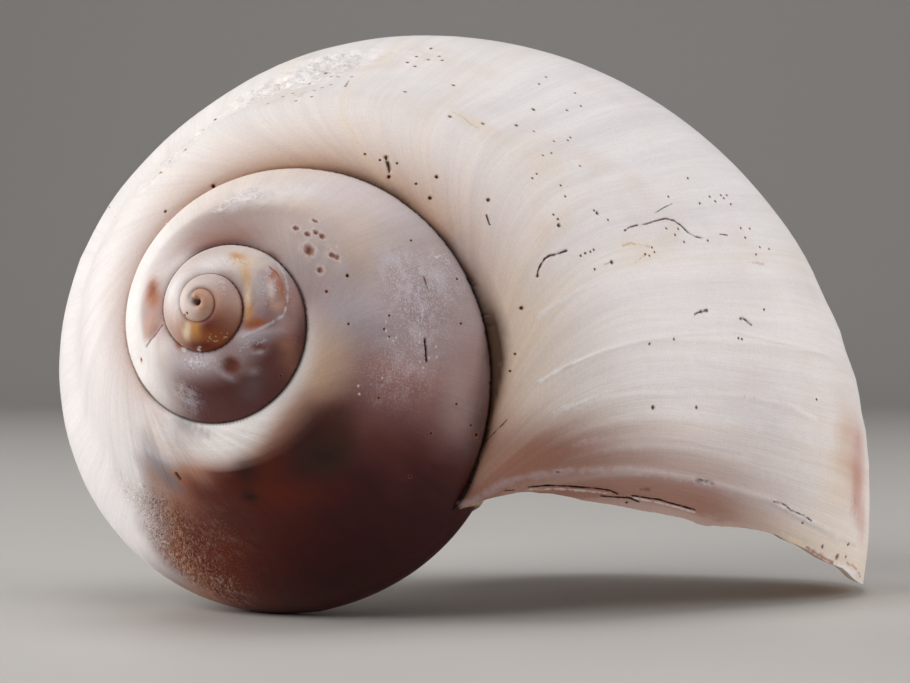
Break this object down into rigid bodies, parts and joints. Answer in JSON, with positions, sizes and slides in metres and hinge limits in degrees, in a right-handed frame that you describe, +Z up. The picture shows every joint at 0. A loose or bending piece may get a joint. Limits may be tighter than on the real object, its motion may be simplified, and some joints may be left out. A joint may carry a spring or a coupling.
{
  "type": "snail shell",
  "caption": "Globular sea-snail shell lying on the rim of its mouth: low coiled spire, swollen last whorl, wide half-moon mouth with a thin outer lip.",
  "frame": {"origin": "on the ground, under the middle of the bounding box of the shell as it lies", "axes": "+Z up from the ground the shell rests on; -Y towards the side that shows the apex; +X from the spire towards the tip of the outer lip"},
  "size_m": [0.0954, 0.0744, 0.066],
  "materials": {
    "shell_wall": "worn satin, cream with grey-violet and amber older whorls"
  },
  "bodies": {
    "root": {"shell": "shell_wall"}
  },
  "joints": []
}
